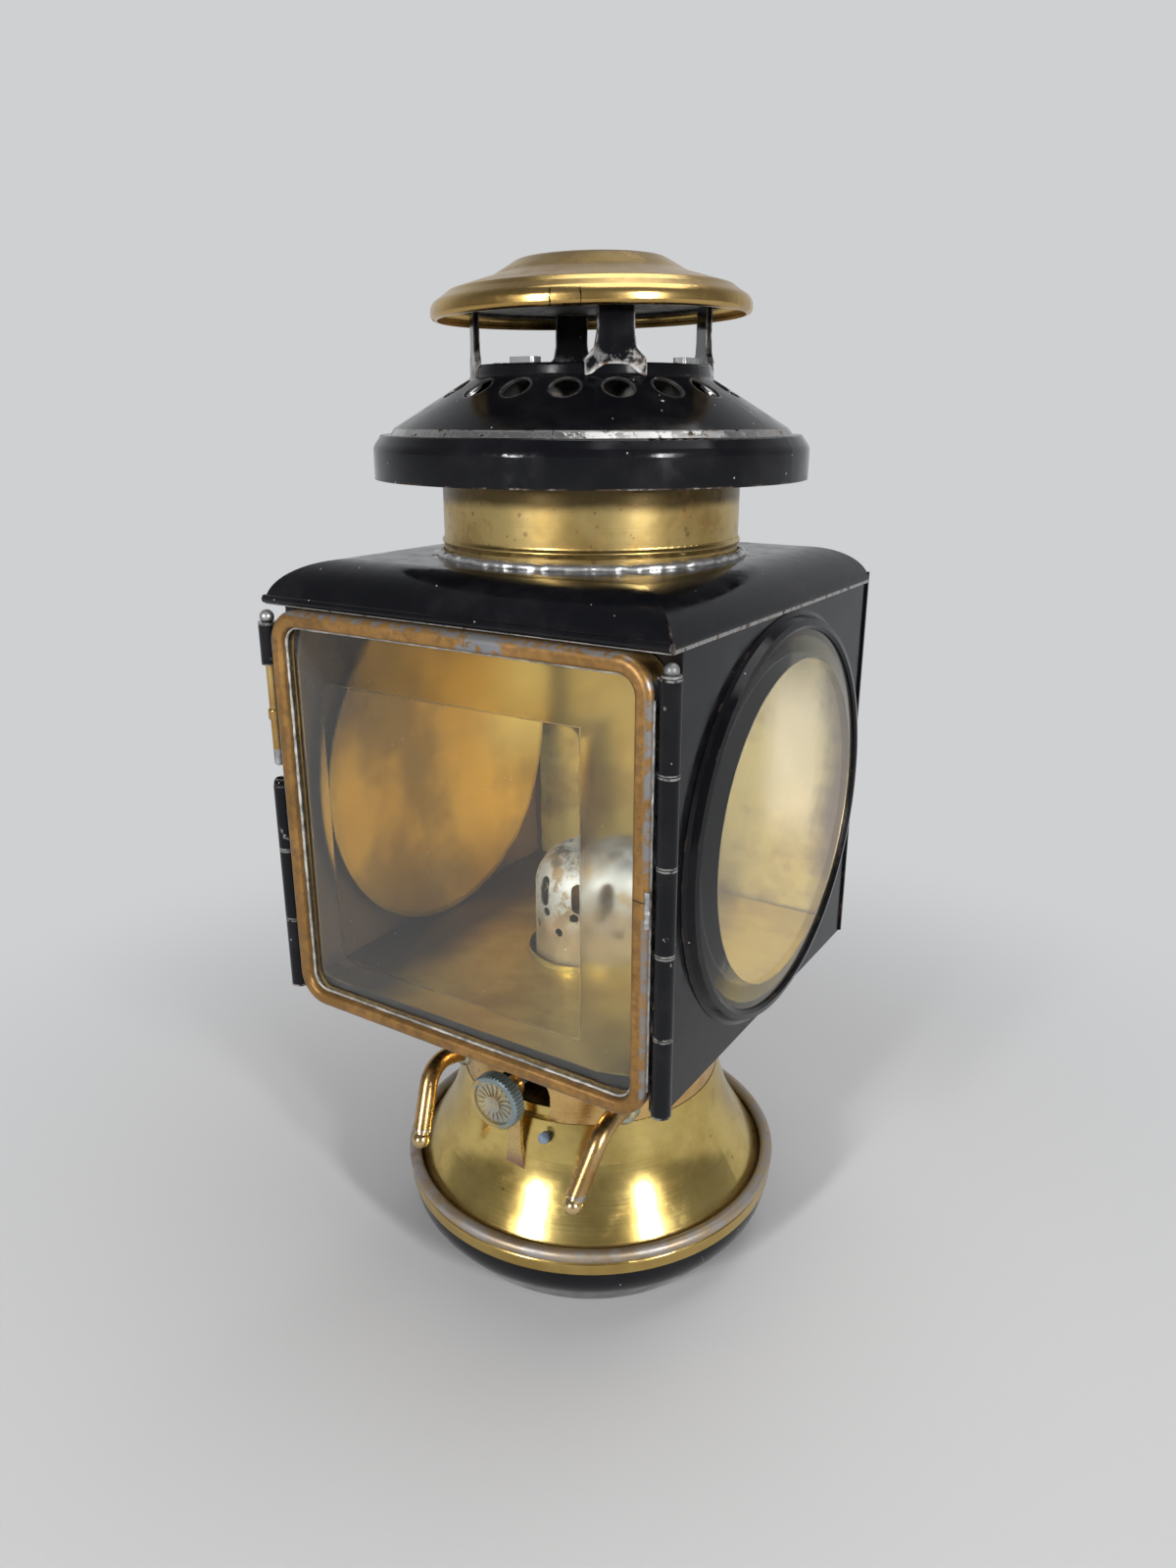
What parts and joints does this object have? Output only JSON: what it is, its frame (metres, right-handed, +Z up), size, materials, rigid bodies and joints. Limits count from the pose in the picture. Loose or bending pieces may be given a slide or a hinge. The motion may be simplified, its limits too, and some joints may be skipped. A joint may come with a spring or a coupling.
{
  "type": "oil side lamp",
  "caption": "Square sheet-metal oil lamp for an early motor car, with a hinged glass door, round side lens, vented hood and a lift-off brass oil font.",
  "frame": {"origin": "centre of the oil font's foot, on the surface the lamp stands on", "axes": "+Z up along the lamp's axis, -Y towards the front glass door, +X towards the round side lens"},
  "size_m": [0.1254, 0.1598, 0.2901],
  "materials": {
    "black": "gloss",
    "brass": "aged",
    "steel": "worn",
    "glass": "clear",
    "cotton": "woven",
    "plated": "polished"
  },
  "bodies": {
    "font": {"font_cone": "brass", "font_bead_ring": "brass", "font_pan": "black", "font_top_plate": "brass", "burner_socket": "brass", "locating_stud": "steel", "shaft_strap": "brass", "burner_base": "brass", "burner_tube": "brass", "wick_tube": "brass"},
    "wick": {"wick": "cotton"},
    "wick_knob": {"wick_shaft": "steel", "spur_wheels": "brass", "knob_rim": "steel", "knob_face": "brass"},
    "door": {"knuckles_door": "black", "latch_keeper": "black", "door_bezel": "brass", "door_frame": "brass", "front_glass": "glass", "glass_retainer": "brass", "retainer_screws": "brass"},
    "latch_bolt": {"latch_bolt": "brass", "latch_bolt_tip": "steel"},
    "lantern": {"collar": "brass", "bottom_plate": "black", "side_panel_left": "black", "side_panel_right": "black", "back_panel": "black", "front_frame": "black", "floor_plate": "brass", "roof": "black", "roof_lip": "black", "eave_strip": "black", "lens_ring": "black", "side_lens": "glass", "lens_clamp": "brass", "reflector": "plated", "reflector_studs": "steel", "neck_ring": "brass", "hood_deck": "black", "vent_hood": "black", "chimney_tube": "steel", "cap": "brass", "cap_baffle": "steel", "cap_posts": "steel", "rim_tabs": "steel", "draught_tube_left": "brass", "draught_tube_right": "brass", "tube_flanges": "brass", "tube_tips": "brass", "knuckles_body": "black", "hinge_pin": "steel", "latch_barrel": "black", "latch_finial": "brass", "bracket_plate": "black", "bracket_socket": "black", "bracket_rivets": "steel", "set_screw": "steel"}
  },
  "joints": [
    {"name": "lantern_lift", "type": "slide", "parent": "font", "child": "lantern", "axis": [0, 0, 1], "range_m": [0, 0.08]},
    {"name": "door_hinge", "type": "hinge", "parent": "lantern", "child": "door", "pos_m": [0.06, -0.064, 0.148], "axis": [0, 0, 1], "range_deg": [0, 135]},
    {"name": "latch_slide", "type": "slide", "parent": "lantern", "child": "latch_bolt", "axis": [0, 0, -1], "range_m": [0, 0.008]},
    {"name": "knob_turn", "type": "hinge", "parent": "font", "child": "wick_knob", "pos_m": [0.002, -0.05, 0.0695], "axis": [0, 1, 0], "range_deg": [-90, 90]},
    {"name": "wick_slide", "type": "slide", "parent": "font", "child": "wick", "axis": [0, 0, 1], "range_m": [-0.0065, 0.0065]}
  ],
  "couplings": [
    {"joint": "wick_slide", "follows": "knob_turn", "m_per_rad": 0.004}
  ]
}
